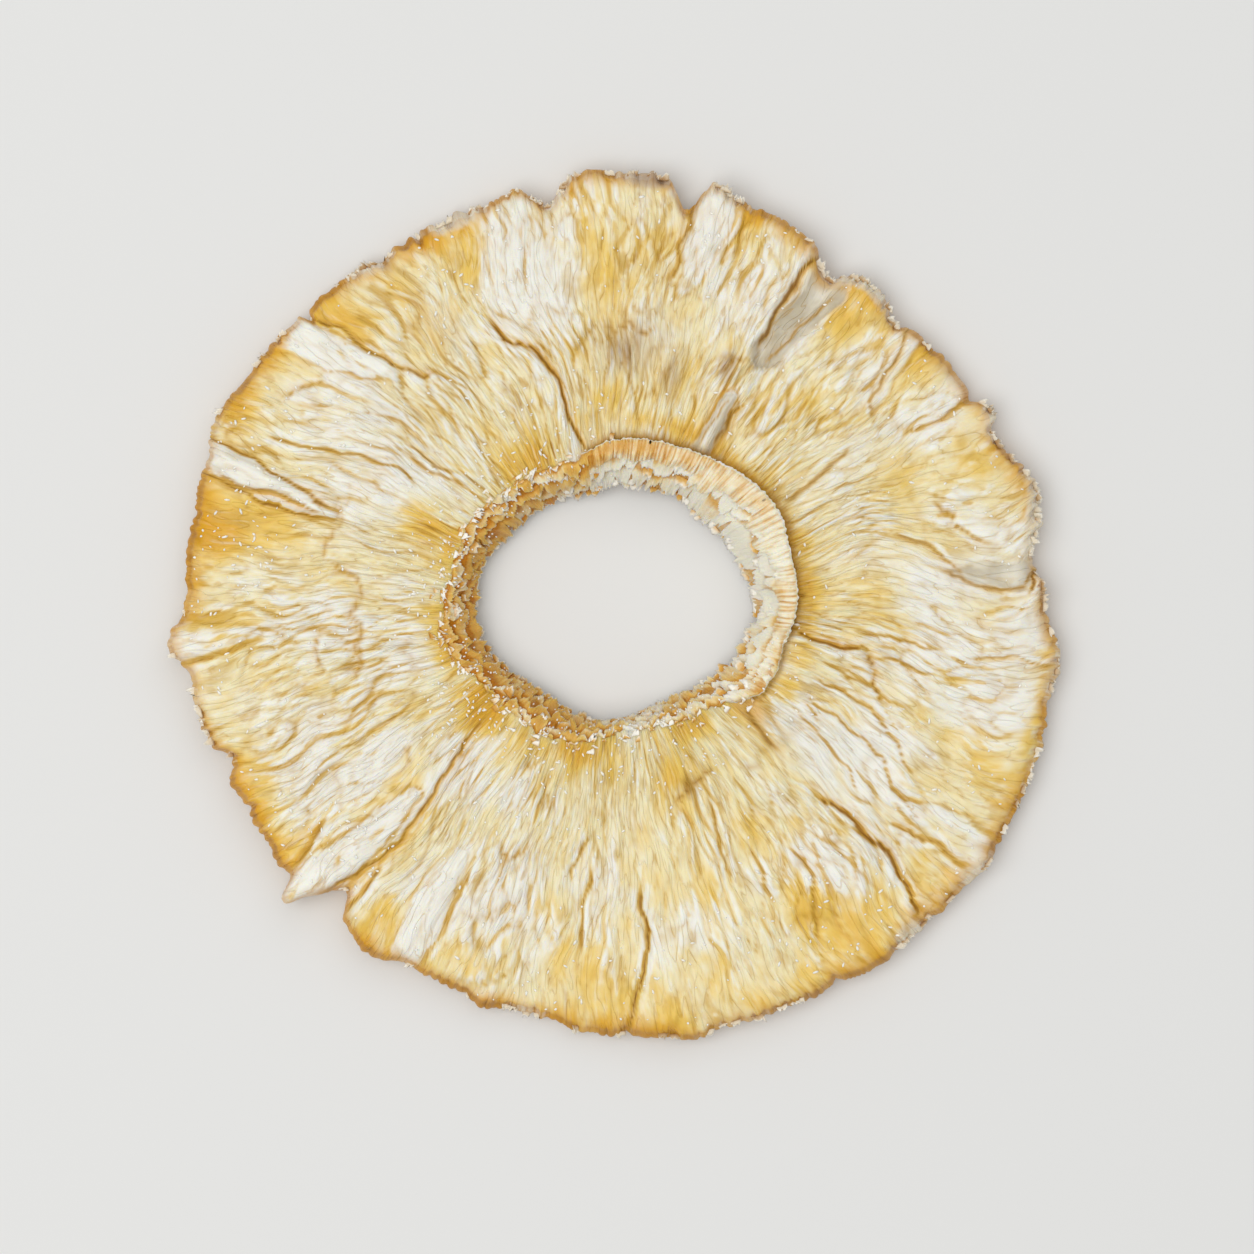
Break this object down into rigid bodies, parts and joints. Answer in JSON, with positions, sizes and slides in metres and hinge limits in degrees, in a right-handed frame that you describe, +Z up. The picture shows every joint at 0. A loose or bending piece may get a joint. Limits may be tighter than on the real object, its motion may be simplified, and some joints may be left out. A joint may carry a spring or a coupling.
{
  "type": "dried pineapple ring",
  "caption": "Dried slice of fruit in the shape of a flat wrinkled ring, with a ragged rim and a cored-out oval hole whose edge stands up as a collar.",
  "frame": {"origin": "centre of the part's bounding box, at the level of the surface it lies on", "axes": "+Z up, square to the slice; +X along its longest width; +Y to the back"},
  "size_m": [0.0848, 0.0826, 0.0073],
  "materials": {
    "dried_flesh": "dried fruit flesh, cream to golden, satin with a few glossy specks, leathery"
  },
  "bodies": {
    "root": {"pineapple_ring": "dried_flesh"}
  },
  "joints": []
}
